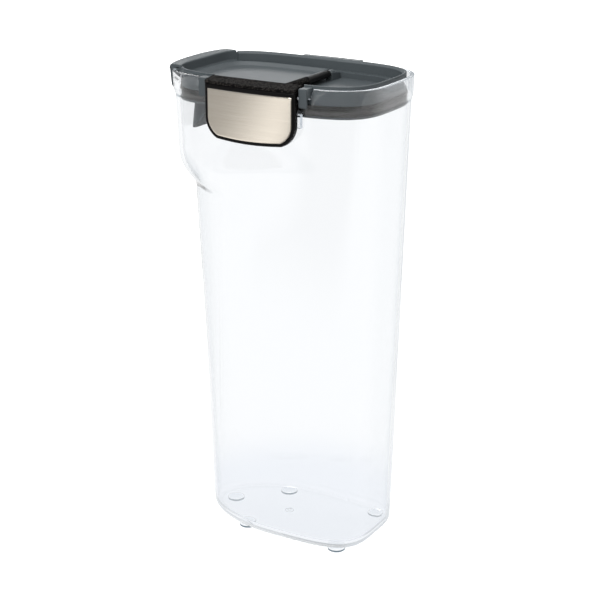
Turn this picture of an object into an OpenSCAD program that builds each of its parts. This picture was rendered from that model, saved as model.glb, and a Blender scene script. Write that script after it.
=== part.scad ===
// Tall clear food keeper with a hinged lid, a flip-up pouring flap and a swing latch.
// +Z is up, the spout end is towards -X, the latch side towards -Y and the lid hinge towards +Y.

/* [Clear body] */
// Height of the clear rim above the table
rim_h = 315; // [250:1:340]
// Rim half width, latch side to hinge side, below the flared band
rim_half_w = 47.7; // [44:0.1:54]
// Centre of the rim to its spout end, below the flared band
rim_nose = 72.8; // [68:0.1:80]
// Centre of the rim to its rear end, below the flared band
rim_tail = 73.8; // [69:0.1:81]
// Half width of the base
base_half_w = 38.9; // [37:0.1:42]
// Centre of the rim to the tip of the base, spout end
base_nose = 61.4; // [58:0.1:66]
// Centre of the rim to the rear of the base
base_tail = 66.6; // [64:0.1:70]
// Thickness of the side wall
wall = 2.3; // [1.8:0.1:3]
// Thickness of the base
floor_t = 2.8; // [2:0.1:4]
// How far the band round the mouth stands out
rim_flare = 0.8; // [0.3:0.1:1.2]
// Height of the band round the mouth
rim_band = 14; // [10:0.5:18]
// Roundness of the rear corners, higher is squarer
tail_round = 3.9; // [3:0.1:5]
// Roundness of the spout head corners, higher is squarer
head_round = 4.5; // [3.5:0.1:6]
// Height where the hand grip ends and the shoulder under the spout head starts
grip_top = 235; // [190:1:245]
// Height of the shoulder
shoulder_h = 27; // [20:1:36]
// How deep each flank of the grip is pinched in
grip_pinch = 1.4; // [0:0.1:2.5]
// Radius between the base and the side wall
base_fillet = 5; // [3:0.5:7]

/* [Feet] */
// Height of the feet
foot_h = 2; // [1.5:0.1:3]
// Diameter of the feet
foot_d = 12; // [9:0.5:13]
// Spacing of the four corner feet along the body
foot_span_x = 70; // [60:1:74]
// Spacing of the four corner feet across the body
foot_span_y = 57; // [48:1:58]
// Centre of the four corner feet, from the rim's centre
foot_mid_x = 16; // [10:0.5:20]
// Distance of the spout foot's centre behind the base's nose
foot_nose_gap = 14.9; // [12:0.1:19]

/* [Lid] */
// Gap between the outside of the mouth and the lid's wall
lid_gap = 4.6; // [4.2:0.1:6]
// Thickness of the lid's wall
lid_wall = 2.6; // [2:0.1:3.2]
// Height of the lid's top edge above the clear rim
lid_rise = 1.5; // [0.5:0.1:2.5]
// Depth of the lid's skirt below the clear rim
skirt_depth = 18.5; // [16:0.5:19]
// Depth of the lid's floor below the clear rim
floor_depth = 9.9; // [9.5:0.1:11]
// Thickness of the lid's floor
lid_floor_t = 2; // [1.6:0.1:2.6]
// Height of the step round the lid's floor
step_h = 3.9; // [3:0.1:4.5]
// Width of the step round the lid's floor
step_w = 3; // [2:0.1:4]
// Length of the pouring opening
mouth_len = 57; // [46:1:60]
// Half width of the pouring opening
mouth_half_w = 27; // [20:0.5:29]
// Distance of the opening's spout end behind the rim's tip
mouth_gap = 12.8; // [12.6:0.1:18]
// Reach of the pouring chute below the lid's floor
chute_depth = 29.5; // [18:0.5:30]
// Wall thickness of the chute
chute_t = 1.6; // [1.2:0.1:2.2]
// How far the chute's spout end leans out at its foot
chute_lean = 4.2; // [0:0.1:4.4]

/* [Pouring flap] */
// Distance of the flap's hinge from the rim's centre, away from the spout
flap_axis_x = 10.5; // [6:0.5:16]
// Height of the flap's hinge below the clear rim
flap_axis_drop = 5.6; // [5:0.1:5.7]
// Half width of the flap
flap_half_w = 37.8; // [34:0.2:38]
// Thickness of the flap's pan
flap_t = 1.6; // [1.2:0.1:2.2]
// Height of the border round the flap's pan
flap_border_h = 2.1; // [1.5:0.1:2.5]
// Height of the flap's thumb tab above the clear rim
tab_rise = 3.4; // [2.8:0.1:4]
// How far the tab's top slopes down towards the lid
tab_slope = 1.5; // [0:0.1:1.7]
// Half width of the thumb tab
tab_half_w = 33; // [26:0.5:34]
// Half width of the tab's lip outside the rim
lip_half_w = 30; // [20:0.5:32]
// Length of the tab's lip outside the rim
tab_drop = 14.5; // [8:0.5:14.5]
// Thickness of the tab's walls
tab_t = 1.8; // [1.5:0.1:2.5]
// Diameter of the flap's smooth hinge barrel
barrel_d = 5; // [3.8:0.1:5.2]
// Diameter of the textured sleeve on the barrel
sleeve_d = 5.6; // [5.4:0.1:6]
// Diameter of the steel pin in the barrel
flap_pin_d = 2; // [1.6:0.1:2.4]
// Where the barrel's far end lies, from the middle of the body
barrel_end = 26.5; // [22:0.5:33]
// Where the textured sleeve ends, from the middle of the body
sleeve_end = -1; // [-5:0.5:15]

/* [Latch] */
// Width of the latch
latch_w = 65; // [52:1:66]
// Height of the latch
latch_h = 37; // [33:0.5:42]
// Radius of the latch's lower corners
latch_corner = 15; // [8:0.5:17]
// Radius of the latch's bow in plan
latch_bow = 250; // [180:5:400]
// Thickness of the latch's face
latch_t = 6.2; // [5:0.1:6.4]
// Gap between the mouth band and the inside of the latch
latch_gap = 1.4; // [1.2:0.1:2.2]
// Border of the black frame round the steel plate, sides and bottom
plate_border = 2.1; // [1.6:0.1:3]
// Height of the black band above the steel plate
plate_drop = 4.6; // [4:0.1:8]
// Thickness of the steel plate
plate_t = 0.6; // [0.4:0.1:0.8]
// How far the steel plate lies below the frame's rim
plate_sink = 0.3; // [0:0.1:0.6]
// Width of the ears on each side of the latch
ear_w = 5.7; // [5.2:0.1:7]
// Height of the ears
ear_h = 12.1; // [9:0.1:12.6]
// Diameter of the latch's pin
latch_pin_d = 2.5; // [2:0.1:2.8]
// Depth of the pad on top of the latch
pad_depth = 13.5; // [12.4:0.1:13.6]

/* [Lid hinge] */
// Width of the lid's hinge
hinge_w = 44; // [36:1:50]
// Width of the clear knuckle on the body
knuckle_w = 15; // [10:0.5:20]
// Radius of the hinge knuckles
knuckle_r = 3; // [2.6:0.1:3.2]
// Diameter of the lid hinge's pin
hinge_pin_d = 2.5; // [2:0.1:3]

/* [Hidden] */

columns = 72;          // points round each ring of the lofted shapes
running = 0.05;        // radial clearance of a pin in its bore
seat_gap = 0.3;        // clearance where one piece rests over another
side_gap = 0.8;        // clearance beside moving pieces
base_centre = 4;       // how far the widest point of the base lies behind the rim's centre
rim_round = 0.6;       // rounding of the clear rim's edge
far = 100;             // length of cutting boxes that run past the part

// Mouth band, lid and gasket
rim_out = rim_half_w + rim_flare;
band_wall = wall + 0.3;
lid_half_w = rim_out - lid_gap;
lid_nose = rim_nose + rim_flare - lid_gap;
lid_tail = rim_tail + rim_flare - lid_gap;
lid_top = rim_h + lid_rise;
lid_floor = rim_h - floor_depth;
lid_under = lid_floor - lid_floor_t;
lid_skirt = rim_h - skirt_depth;
step_top = lid_floor + step_h;
step_inset = lid_wall + step_w;
step_start = -0.5 * lid_nose;                  // the step stops here, short of the spout end
gasket_low = lid_skirt + 1.5;
gasket_high = lid_floor - 0.4;
gasket_out = 0.9;                              // how far the gasket's upper lip stands out of the wall
gasket_in = 1.2;                               // depth of its groove
flange_t = 1;                                  // flange of the pouring chute
flange_w = 2.5;

mouth_end = rim_nose - mouth_gap;
slant_run = 24;                                // the chute's slanted edge ends here, behind its tip
roof_run = 38;                                 // and its collar is level from here on

// Pouring flap
pan_low = lid_floor + 1.6;
pan_floor = pan_low + flap_t;
pan_top = pan_floor + flap_border_h;
dish_slope = 3.2;                              // width of the sloping side of the flap's dish
flap_nose = lid_nose - lid_wall - 0.5;
flap_round = 5;                                // roundness of the pan's corners beside the tab
flap_rear = flap_axis_x - 4.5;
flap_axis_z = rim_h - flap_axis_drop;
lug_r = 2.2;
boss_back = 5.5;                               // the boss runs back this far from the flap's hinge
lug_t = 1.7;
barrel_start = -flap_half_w;
boss_start = barrel_end + 0.5;
boss_end = lid_half_w - lid_wall + 0.4;
tab_gap = 0.5;                                 // gap between the tab's ends and the lid's wall
tab_top = rim_h + tab_rise;
tab_under = rim_h + 0.6;
lip_corner = 4;                                // how far the lip's lower corners are cut off
tab_out = lid_gap - band_wall - 0.8;           // how far the tab's wall stands outside the lid's wall
lip_in = lid_gap + 0.7;                        // inner face of the lip, outside the lid's wall
lip_out = lip_in + tab_t - 0.4;

// Latch, its ears and its catch
latch_inner = rim_out + latch_gap;
latch_outer = latch_inner + latch_t;
latch_top = rim_h - 0.5;
latch_low = latch_top - latch_h;
latch_axis_y = -(rim_out - 2.5);
latch_axis_z = rim_h - 3.4;
latch_knuckle = 2.6;
latch_sill = latch_axis_z - latch_knuckle - 2; // the lid's wall stops here behind the latch
notch_floor = latch_axis_z - latch_knuckle - seat_gap;
pad_low = latch_top - 1.7;
pad_top = rim_h + 1.1;
pad_back = latch_outer - pad_depth;
ear_in = latch_w / 2 + side_gap;
ear_out = ear_in + ear_w;
ear_top = rim_h + 0.3;
ear_front = rim_out + 2.3;
catch_low = rim_h - 24.5;
catch_h = 8.5;
catch_out = latch_inner - 0.6;
catch_half_w = latch_w / 2 + 1.3;
latch_skin = plate_sink + plate_t + 1.7;       // thickness of the latch's face with its plate
hook_h = 4.7;
hook_half_w = latch_w / 2 - 8;
pad_seat = latch_axis_z + latch_knuckle - 0.2; // the pad lies on the knuckle here
pin_seat = 4.1;                                // depth of the pins' blind ends

// Lid hinge
hinge_y = rim_out + knuckle_r;
hinge_z = rim_h - 4.3;
tongue_low = hinge_z - 2;
cover_low = hinge_z + knuckle_r + seat_gap;
cover_top = cover_low + 1.4;

function lerp(a, b, t) = a + (b - a) * t;
function smooth(t) = let (u = min(1, max(0, t))) u * u * (3 - 2 * u);
function reverse(list) = [for (k = [len(list) - 1:-1:0]) list[k]];

// Closed outline whose front (-X) and rear (+X) halves are superellipses that meet at xc.
function outline(xc, nose, tail, half, p, q, n) = [for (i = [0:columns - 1])
    let (a = 360 * i / columns, c = cos(a), s = sin(a), m = c < 0 ? q : n)
    [c < 0 ? xc - (nose + xc) * pow(-c, 2 / p) : xc + (tail - xc) * pow(c, 2 / n),
     half * sign(s) * pow(abs(s), 2 / m)]];
function at_height(points, z) = [for (p = points) [p[0], p[1], z]];

// The body's outer form at one height: a pointed nose in the grip, a broad spout head above it.
function share(z) = (z - foot_h) / (rim_h - foot_h);
function flare(z) = rim_flare * smooth((z - rim_h + rim_band + 3) / 5);
function head(z) = smooth((z - grip_top) / shoulder_h);
function grip_q(z) = lerp(1.72, 2.06, smooth((share(z) - 0.36) / 0.4));
function pinch(z) = grip_pinch * smooth((share(z) - 0.2) / 0.4) * (1 - head(z));
function flank(a) = cos(a) < 0 ? smooth(1 - abs(abs(sin(a)) - 0.62) / 0.3) : 0;
function body_ring(z, inset) =
    let (out = flare(z) - inset, t = share(z),
         ring = outline(base_centre * (1 - t), lerp(base_nose, rim_nose, t) + out,
                        lerp(base_tail, rim_tail, t) + out, lerp(base_half_w, rim_half_w, t) + out,
                        lerp(2, head_round, head(z)), lerp(grip_q(z), head_round, head(z)), tail_round))
    [for (i = [0:columns - 1])
        [ring[i][0], ring[i][1] - sign(ring[i][1]) * flank(360 * i / columns) * pinch(z), z]];

// Heights and insets of the body's rings: up the outside, over the rim and down the inside.
function fillet(low, inset) = [for (a = [0:30:90])
    [low + base_fillet * (1 - cos(a)), inset + base_fillet * (1 - sin(a))]];
side_z = concat([for (k = [1:6]) lerp(foot_h + base_fillet, grip_top - 5, k / 6)],
                [for (k = [0:7]) grip_top + shoulder_h * k / 7],
                [rim_h - rim_band - 3, rim_h - rim_band - 1, rim_h - rim_band + 2]);
body_rings = concat(
    fillet(foot_h, 0), [for (z = side_z) [z, 0]],
    [[rim_h - rim_round, 0], [rim_h, rim_round]],
    [[rim_h, band_wall - rim_round], [rim_h - rim_round, band_wall]],
    [for (z = reverse(side_z)) [z, z > rim_h - rim_band - 2 ? band_wall : wall]],
    reverse(fillet(foot_h + floor_t, wall)));

// Rings round the lid's centre, at one height and one distance inside its wall.
function lid_ring(z, inset) =
    at_height(outline(0, lid_nose - inset, lid_tail - inset, lid_half_w - inset,
                      head_round, head_round, tail_round), z);
function flap_ring(z, inset) =
    at_height(outline(0, flap_nose - inset, flap_rear - inset, flap_half_w - inset,
                      flap_round, flap_round, 12), z);
function mouth_ring(z, inset, lean = 0) =
    at_height(outline(mouth_len / 2 - mouth_end, mouth_end + lean - inset, mouth_len - mouth_end - inset,
                      mouth_half_w - inset, 5, 5, 5), z);

// Joins a stack of rings into one solid, closed at both ends or round into a hoop.
function level(a, b) = let (h = len(a) / 2)
    a[0][2] == b[0][2] || (a[0][0] == b[0][0] && a[h][0] == b[h][0]);
function sides(stack, last) = let (n = len(stack), w = len(stack[0]))
    [for (k = [0:last]) for (i = [0:w - 1]) let (j = (i + 1) % w, a = k * w, b = ((k + 1) % n) * w)
        each level(stack[k], stack[(k + 1) % n]) ? [[a + i, b + i, b + j, a + j]]
                                                 : [[a + i, b + j, a + j], [a + i, b + i, b + j]]];
module loft(stack) {
    w = len(stack[0]);
    last = (len(stack) - 1) * w;
    ends = [[for (i = [0:w - 1]) i], [for (i = [w - 1:-1:0]) last + i]];
    polyhedron([for (s = stack) each s], concat(ends, sides(stack, len(stack) - 2)));
}

module hoop(stack) {
    polyhedron([for (s = stack) each s], sides(stack, len(stack) - 1));
}

// Sweeps a profile of (inset, height) points across the spout end of the lid's outline, out to half_w.
// The end faces are given as the convex parts of the profile.
module spout_sweep(profile, parts, half_w, steps) {
    n = len(profile);
    points = [for (k = [0:steps]) let (y = half_w * (2 * k / steps - 1))
        each [for (p = profile) let (t = abs(y) / (lid_half_w - p[0]))
            [(p[0] - lid_nose) * pow(1 - pow(t, head_round), 1 / head_round), y, p[1]]]];
    faces = [for (k = [0:steps - 1]) for (i = [0:n - 1]) let (j = (i + 1) % n, a = k * n, b = a + n)
        each (profile[i][0] == profile[j][0] || profile[i][1] == profile[j][1])
            ? [[a + i, b + i, b + j, a + j]] : [[a + i, b + j, a + j], [a + i, b + i, b + j]]];
    far_end = [for (part = parts) [for (i = reverse(part)) steps * n + i]];
    polyhedron(points, concat(parts, far_end, faces));
}

module box(low, high) {
    translate(low) cube(high - low);
}

module along_x(x0, x1) {
    translate([x0, 0, 0]) rotate([90, 0, 90]) linear_extrude(x1 - x0) children();
}

module rod_x(y, z, r, x0, x1) {
    translate([x0, y, z]) rotate([0, 90, 0]) cylinder(r = r, h = x1 - x0, $fn = 48);
}

module rod_y(r, y0, y1) {
    translate([flap_axis_x, y0, flap_axis_z]) rotate([-90, 0, 0]) cylinder(r = r, h = y1 - y0, $fn = 48);
}

module at_feet() {
    translate([foot_nose_gap - base_nose, 0, 0]) children();
    for (sx = [-1, 1], sy = [-1, 1])
        translate([foot_mid_x + sx * foot_span_x / 2, sy * foot_span_y / 2, 0]) children();
}

module body() {
    root = rim_out - band_wall + 0.7;
    arm_y = knuckle_r * cos(30);
    arm_z = knuckle_r * sin(30);
    color([0.86, 0.9, 0.92, 0.35]) difference() {
        union() {
            difference() {
                loft([for (r = body_rings) body_ring(r[0], r[1])]);
                box([-ear_out - side_gap, -far, notch_floor], [ear_out + side_gap, -lid_half_w, far * 4]);
                box([-hinge_w / 2 - side_gap, lid_half_w, tongue_low - seat_gap],
                    [hinge_w / 2 + side_gap, far, far * 4]);
            }
            at_feet() translate([0, 0, foot_h]) cylinder(d = foot_d, h = floor_t - 0.2, $fn = 48);
            box([-catch_half_w, -catch_out, catch_low],
                [catch_half_w, wall + 0.1 - rim_out, catch_low + catch_h]);
            rod_x(hinge_y, hinge_z, knuckle_r, -knuckle_w / 2, knuckle_w / 2);
            along_x(-knuckle_w / 2, knuckle_w / 2)
                polygon([[root, hinge_z - 11], [hinge_y + arm_y, hinge_z - arm_z],
                         [hinge_y - arm_y, hinge_z - arm_z], [root, tongue_low - 1.2]]);
        }
        rod_x(hinge_y, hinge_z, hinge_pin_d / 2 + running, -knuckle_w, knuckle_w);
    }
}

module foot(x, y) {
    color([0.8, 0.83, 0.85]) translate([x, y, 0]) cylinder(d = foot_d, h = foot_h, $fn = 48);
}

module foot_spout() {
    foot(foot_nose_gap - base_nose, 0);
}

module foot_front_left() {
    foot(foot_mid_x - foot_span_x / 2, -foot_span_y / 2);
}

module foot_front_right() {
    foot(foot_mid_x + foot_span_x / 2, -foot_span_y / 2);
}

module foot_back_left() {
    foot(foot_mid_x - foot_span_x / 2, foot_span_y / 2);
}

module foot_back_right() {
    foot(foot_mid_x + foot_span_x / 2, foot_span_y / 2);
}

// Lid: one moulded pan whose profile runs from its underside, round the skirt and over the rim.
module lid_pan() {
    profile = [
        [lid_under, lid_wall], [lid_skirt, lid_wall], [lid_skirt, 0],
        [gasket_low, 0], [gasket_low, gasket_in], [gasket_high, gasket_in], [gasket_high, 0],
        [lid_top - 0.6, 0], [lid_top, 0.6], [lid_top, 0.9], [lid_top - 1.6, lid_wall],
        [step_top, lid_wall], [step_top, step_inset], [lid_floor, step_inset]];
    loft([for (p = profile) lid_ring(p[0], p[1])]);
}

module ear() {
    drop = ear_top - ear_h;
    inner = rim_out + 0.7;
    root = lid_half_w - lid_wall + 0.2;
    under = notch_floor + seat_gap;
    along_x(ear_in, ear_out)
        polygon([[-root, under], [-root, ear_top], [-ear_front + 0.6, ear_top], [-ear_front, ear_top - 0.6],
                 [-ear_front, drop + 1.2], [-ear_front + 0.6, drop], [-inner, drop], [-inner, under]]);
}

module hinge_tongue() {
    half = hinge_w / 2;
    back = hinge_y + knuckle_r / 2;
    difference() {
        union() {
            box([-half, lid_half_w - lid_wall + 0.2, tongue_low], [half, hinge_y, cover_top]);
            box([-half, hinge_y - 1, hinge_z], [half, back, cover_top]);
            rod_x(hinge_y, hinge_z, knuckle_r, -half, half);
        }
        box([-knuckle_w / 2 - 0.5, hinge_y - knuckle_r - 1.1, 0], [knuckle_w / 2 + 0.5, far, cover_low]);
    }
}

module flap_supports() {
    box([flap_axis_x - lug_r, boss_start, lid_floor - 1], [flap_axis_x + lug_r, boss_end, flap_axis_z]);
    box([flap_axis_x, boss_start, lid_floor - 1], [flap_axis_x + boss_back, boss_end, step_top - 0.2]);
    rod_y(lug_r, boss_start, boss_end);
    box([flap_axis_x - lug_r, barrel_start - seat_gap - lug_t, lid_floor - 1],
        [flap_axis_x + lug_r, barrel_start - seat_gap, flap_axis_z]);
    rod_y(lug_r, barrel_start - seat_gap - lug_t, barrel_start - seat_gap);
}

module latch_pin_shape() {
    rod_x(latch_axis_y, latch_axis_z, latch_pin_d / 2, -ear_in - pin_seat, ear_in + pin_seat);
}

module hinge_pin_shape() {
    rod_x(hinge_y, hinge_z, hinge_pin_d / 2, -hinge_w / 2 + 0.5, hinge_w / 2 - 0.5);
}

module flap_pin_shape() {
    rod_y(flap_pin_d / 2, barrel_start - seat_gap - lug_t + 0.5, boss_start + pin_seat);
}

module lid_frame() {
    color([0.36, 0.39, 0.41]) difference() {
        union() {
            difference() {
                lid_pan();
                loft([mouth_ring(lid_under - 1, 0), mouth_ring(lid_floor + 1, 0)]);
                // Room for the flap's tab in the spout end, and for the latch in the side wall
                box([-far, -tab_half_w - tab_gap, lid_floor],
                    [-lid_nose + step_inset + 8, tab_half_w + tab_gap, far * 4]);
                translate([0, 0, lid_floor]) linear_extrude(step_top - lid_floor) difference() {
                    polygon([for (p = lid_ring(0, lid_wall)) [p[0], p[1]]]);
                    translate([step_start, -far]) square(2 * far);
                }
                box([-ear_in + 0.2, -far, latch_sill], [ear_in - 0.2, barrel_start - seat_gap, far * 4]);
            }
            ear();
            mirror([1, 0, 0]) ear();
            hinge_tongue();
            flap_supports();
        }
        latch_pin_shape();
        hinge_pin_shape();
        flap_pin_shape();
    }
}

module lid_gasket() {
    low = gasket_low;
    profile = [
        [low, gasket_in], [low, 0.2], [low + 0.25, 0.4 - gasket_out], [low + 1.1, 0.4 - gasket_out],
        [low + 1.5, 0], [gasket_high - 1.7, 0], [gasket_high - 1.3, -gasket_out],
        [gasket_high - 0.4, -gasket_out], [gasket_high, 0.2], [gasket_high, gasket_in]];
    color([0.2, 0.2, 0.19]) hoop([for (p = profile) lid_ring(p[0], p[1])]);
}

// Pouring chute: a collar under the opening whose mouth is cut on the slant, longest at the spout end.
module pour_chute() {
    low = lid_under - chute_depth;
    seat = lid_under - flange_t;
    tip = -mouth_end - chute_lean;
    collar = [[low, 0], [low, -chute_t], [seat, -chute_t], [seat, -chute_t - flange_w],
              [lid_under, -chute_t - flange_w], [lid_under, 0]];
    color([0.36, 0.39, 0.41]) difference() {
        hoop([for (p = collar) mouth_ring(p[0], p[1], p[0] == low ? chute_lean : 0)]);
        translate([0, far, 0]) rotate([90, 0, 0]) linear_extrude(2 * far)
            polygon([[tip + 0.4, low - 1], [tip + 0.4, low + 0.2], [tip + 3.1, low + 2.1],
                     [tip + 5.7, low + 4.6], [tip + slant_run, low + chute_depth * 0.74],
                     [tip + roof_run, seat - 1.4], [far, seat - 1.4], [far, low - 1]]);
    }
}

module lid_hinge_pin() {
    color([0.75, 0.76, 0.78]) hinge_pin_shape();
}

// Flap: a dished pan, its thumb tab hooked over the rim, and the web that carries the hinge barrel.
module flap() {
    pan = [[pan_low, 0], [pan_top - 0.4, 0], [pan_top, 0.4], [pan_top, 1.2],
           [pan_floor, 1.2 + dish_slope]];
    inner = tab_t - tab_out;
    root = lid_wall + 1.4 + dish_slope;
    shelf = lid_wall + 1.3;
    lip_low = rim_h - tab_drop;
    tab = [[root, pan_low + 0.4], [-tab_out, pan_low + 0.4], [-tab_out, tab_under], [-lip_in, tab_under],
           [-lip_in, lip_low], [0.4 - lip_out, lip_low], [-lip_out, lip_low + 0.8],
           [-lip_out, tab_top - 1.4], [1.2 - lip_out, tab_top], [inner - 0.5, tab_top - tab_slope],
           [inner, tab_top - tab_slope - 0.8], [inner, pan_top - 0.2], [shelf, pan_top - 0.2],
           [root, pan_floor - 0.4]];
    tab_parts = [[0, 1, 11, 12, 13], [1, 2, 10, 11], [2, 3, 7, 8, 9, 10], [3, 4, 5, 6, 7]];
    color([0.4, 0.43, 0.45]) difference() {
        union() {
            loft([for (p = pan) flap_ring(p[0], p[1])]);
            spout_sweep(tab, tab_parts, tab_half_w, 16);
            box([flap_rear - 1.4, barrel_start + 1.5, flap_axis_z - 1.3],
                [flap_axis_x - 1.2, barrel_end - 1.5, pan_top - 0.3]);
        }
        // The lip narrows downwards and its lower corners are cut off
        for (side = [0, 1]) mirror([0, side, 0]) along_x(-far, -lid_nose - 0.5)
            polygon([[tab_half_w - 0.6, tab_under - 0.3], [lip_half_w, lip_low + lip_corner],
                     [lip_half_w - lip_corner, lip_low], [lip_half_w - lip_corner, lip_low - 1],
                     [far, lip_low - 1], [far, tab_under - 0.3]]);
        rod_y(barrel_d / 2, -far, far);
        rod_y(sleeve_d / 2, -far, sleeve_end);
    }
}

module flap_gasket() {
    low = lid_floor + seat_gap;
    color([0.2, 0.2, 0.19]) hoop([
        mouth_ring(low, -2.2), mouth_ring(low, -3.4), mouth_ring(low + 0.5, -4),
        mouth_ring(pan_low, -4), mouth_ring(pan_low, -1.6), mouth_ring(low + 0.5, -1.6)]);
}

module flap_barrel() {
    color([0.12, 0.12, 0.12]) difference() {
        rod_y(barrel_d / 2, barrel_start, barrel_end);
        rod_y(flap_pin_d / 2 + running, -far, far);
    }
}

module barrel_sleeve() {
    color([0.16, 0.15, 0.15]) difference() {
        rod_y(sleeve_d / 2, barrel_start, sleeve_end);
        rod_y(barrel_d / 2, -far, far);
    }
}

module flap_pin() {
    color([0.75, 0.76, 0.78]) flap_pin_shape();
}

// Face of the latch seen from the front: upright sides, round lower corners, a slightly bowed lower edge.
module latch_face(inset, top) {
    r = latch_corner - inset;
    half = latch_w / 2 - inset;
    low = latch_low + inset;
    intersection() {
        union() {
            translate([-half, low + r]) square([2 * half, top - low - r]);
            translate([r - half, low]) square([2 * (half - r), r + 1]);
            for (side = [-1, 1]) translate([side * (half - r), low + r]) circle(r = r, $fn = 96);
        }
        translate([0, low + 3.5 * latch_w]) circle(r = 3.5 * latch_w, $fn = 720);
    }
}

module latch_slab(inset, top) {
    translate([0, -latch_inner, 0]) rotate([90, 0, 0]) linear_extrude(latch_t + 2) latch_face(inset, top);
}

module bow(inset) {
    translate([0, latch_bow - latch_outer, latch_low - 2])
        cylinder(r = latch_bow - inset, h = latch_h + 6, $fn = 720);
}

module plate_pocket() {
    difference() {
        latch_slab(plate_border, latch_top - plate_drop);
        bow(plate_sink + plate_t);
    }
}

// The latch's back is open behind the plate, up to a wall of even thickness.
module latch_hollow() {
    intersection() {
        translate([0, 0.1 - latch_inner, 0]) rotate([90, 0, 0]) linear_extrude(latch_t)
            latch_face(plate_border + 1, pad_low - 3.2);
        bow(latch_skin);
    }
}

module pad_profile() {
    polygon([[-latch_outer - 1, pad_low], [-latch_outer - 1, pad_low + 1.6], [-latch_inner, pad_top - 0.8],
             [latch_axis_y + 1, pad_top], [-pad_back - 0.6, pad_top - 0.1], [-pad_back, pad_top - 0.7],
             [-pad_back, pad_seat], [1.6 - latch_inner, pad_seat], [-latch_inner - 0.4, pad_low]]);
}

module latch_frame() {
    half = latch_w / 2;
    hook_top = catch_low - side_gap;
    hook_root = latch_skin - 0.4 - latch_outer;
    color([0.1, 0.1, 0.1]) difference() {
        union() {
            difference() {
                intersection() {
                    latch_slab(0, pad_low);
                    bow(0);
                }
                latch_hollow();
            }
            along_x(-half, half)
                polygon([[-latch_inner - 0.8, pad_low], [-latch_inner - 0.4, pad_low],
                         [1.6 - latch_inner, pad_seat], [latch_axis_y, pad_seat],
                         [latch_axis_y, latch_axis_z - 1.2],
                         [-latch_inner - 0.8, latch_axis_z - 1.2]]);
            difference() {
                rod_x(latch_axis_y, latch_axis_z, latch_knuckle, -half, half);
                box([-far, -far, pad_seat], [far, 0, far * 4]);
            }
            along_x(-hook_half_w, hook_half_w)
                polygon([[hook_root, hook_top - hook_h - 1], [-latch_inner, hook_top - hook_h - 1],
                         [-catch_out - 0.1, hook_top - hook_h], [-catch_out - 0.1, hook_top],
                         [hook_root, hook_top]]);
        }
        plate_pocket();
        rod_x(latch_axis_y, latch_axis_z, latch_pin_d / 2 + running, -far, far);
    }
}

module latch_pad() {
    color([0.17, 0.16, 0.16]) intersection() {
        along_x(0.4 - latch_w / 2, latch_w / 2 - 0.4) pad_profile();
        bow(0);
    }
}

module latch_plate() {
    color([0.8, 0.77, 0.72]) intersection() {
        plate_pocket();
        bow(plate_sink);
    }
}

module latch_pin() {
    color([0.75, 0.76, 0.78]) latch_pin_shape();
}

body();
foot_spout();
foot_front_left();
foot_front_right();
foot_back_left();
foot_back_right();
lid_frame();
lid_gasket();
pour_chute();
lid_hinge_pin();
flap();
flap_gasket();
flap_barrel();
barrel_sleeve();
flap_pin();
latch_frame();
latch_pad();
latch_plate();
latch_pin();
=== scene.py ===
import math

import bmesh
import bpy
import numpy as np
from mathutils import Matrix, Vector


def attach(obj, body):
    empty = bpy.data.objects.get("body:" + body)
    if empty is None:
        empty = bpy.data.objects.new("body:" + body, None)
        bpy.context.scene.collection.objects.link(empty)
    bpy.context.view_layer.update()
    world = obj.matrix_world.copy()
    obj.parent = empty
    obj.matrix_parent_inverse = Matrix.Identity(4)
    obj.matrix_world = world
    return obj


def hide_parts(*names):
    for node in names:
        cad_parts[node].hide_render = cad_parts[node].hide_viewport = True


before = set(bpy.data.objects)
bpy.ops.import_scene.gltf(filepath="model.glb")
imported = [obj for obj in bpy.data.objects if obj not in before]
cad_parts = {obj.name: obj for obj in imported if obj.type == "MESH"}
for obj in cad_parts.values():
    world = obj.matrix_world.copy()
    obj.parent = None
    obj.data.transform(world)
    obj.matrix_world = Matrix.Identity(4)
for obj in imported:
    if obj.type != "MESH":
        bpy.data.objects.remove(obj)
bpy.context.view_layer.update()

# The viewpoint: a long lens a metre away, a little above the lid, turned towards the spout
# so that the latch side and the rounded rear corner both show.
turn, tilt, lean = math.radians(30.23), math.radians(19.05), math.radians(0.19)
away = Vector((math.sin(turn) * math.cos(tilt), -math.cos(turn) * math.cos(tilt), math.sin(tilt)))
level = Vector((math.cos(turn), math.sin(turn), 0))
upright = away.cross(level)
right = level * math.cos(lean) + upright * math.sin(lean)
upright = upright * math.cos(lean) - level * math.sin(lean)
camera = bpy.data.objects.new("viewpoint", bpy.data.cameras.new("viewpoint"))
camera.data.sensor_width = 36
camera.data.lens = 94.92
stand = Vector((0.5087, -0.8637, 0.5060))
facing = Matrix((right, upright, away)).transposed().to_4x4()
camera.matrix_world = Matrix.Translation(stand) @ facing
camera.data.clip_start, camera.data.clip_end = 0.05, 60
bpy.context.collection.objects.link(camera)
bpy.context.scene.camera = camera
bpy.context.scene.view_settings.view_transform = "Standard"
bpy.context.scene.cycles.max_bounces = 28
bpy.context.scene.cycles.glossy_bounces = 20
bpy.context.scene.cycles.transmission_bounces = 20


# The studio: a white sweep under the keeper, a wide soft box high in front and two weak ones
# above and behind, in a room that is white overhead and grey low down, which draws the clear
# edges.
def linear(code):
    """sRGB hex to linear light: c / 12.92 below 0.04045, else ((c + 0.055) / 1.055) ^ 2.4."""
    part = [int(code[i:i + 2], 16) / 255 for i in (1, 3, 5)]
    return (*[c / 12.92 if c <= 0.04045 else ((c + 0.055) / 1.055) ** 2.4 for c in part], 1)


def plug(tree, node, links):
    """Sets a node's inputs, each by value or by socket."""
    for key, value in links.items():
        if isinstance(value, bpy.types.NodeSocket):
            tree.links.new(value, node.inputs[key])
        else:
            node.inputs[key].default_value = value


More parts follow.
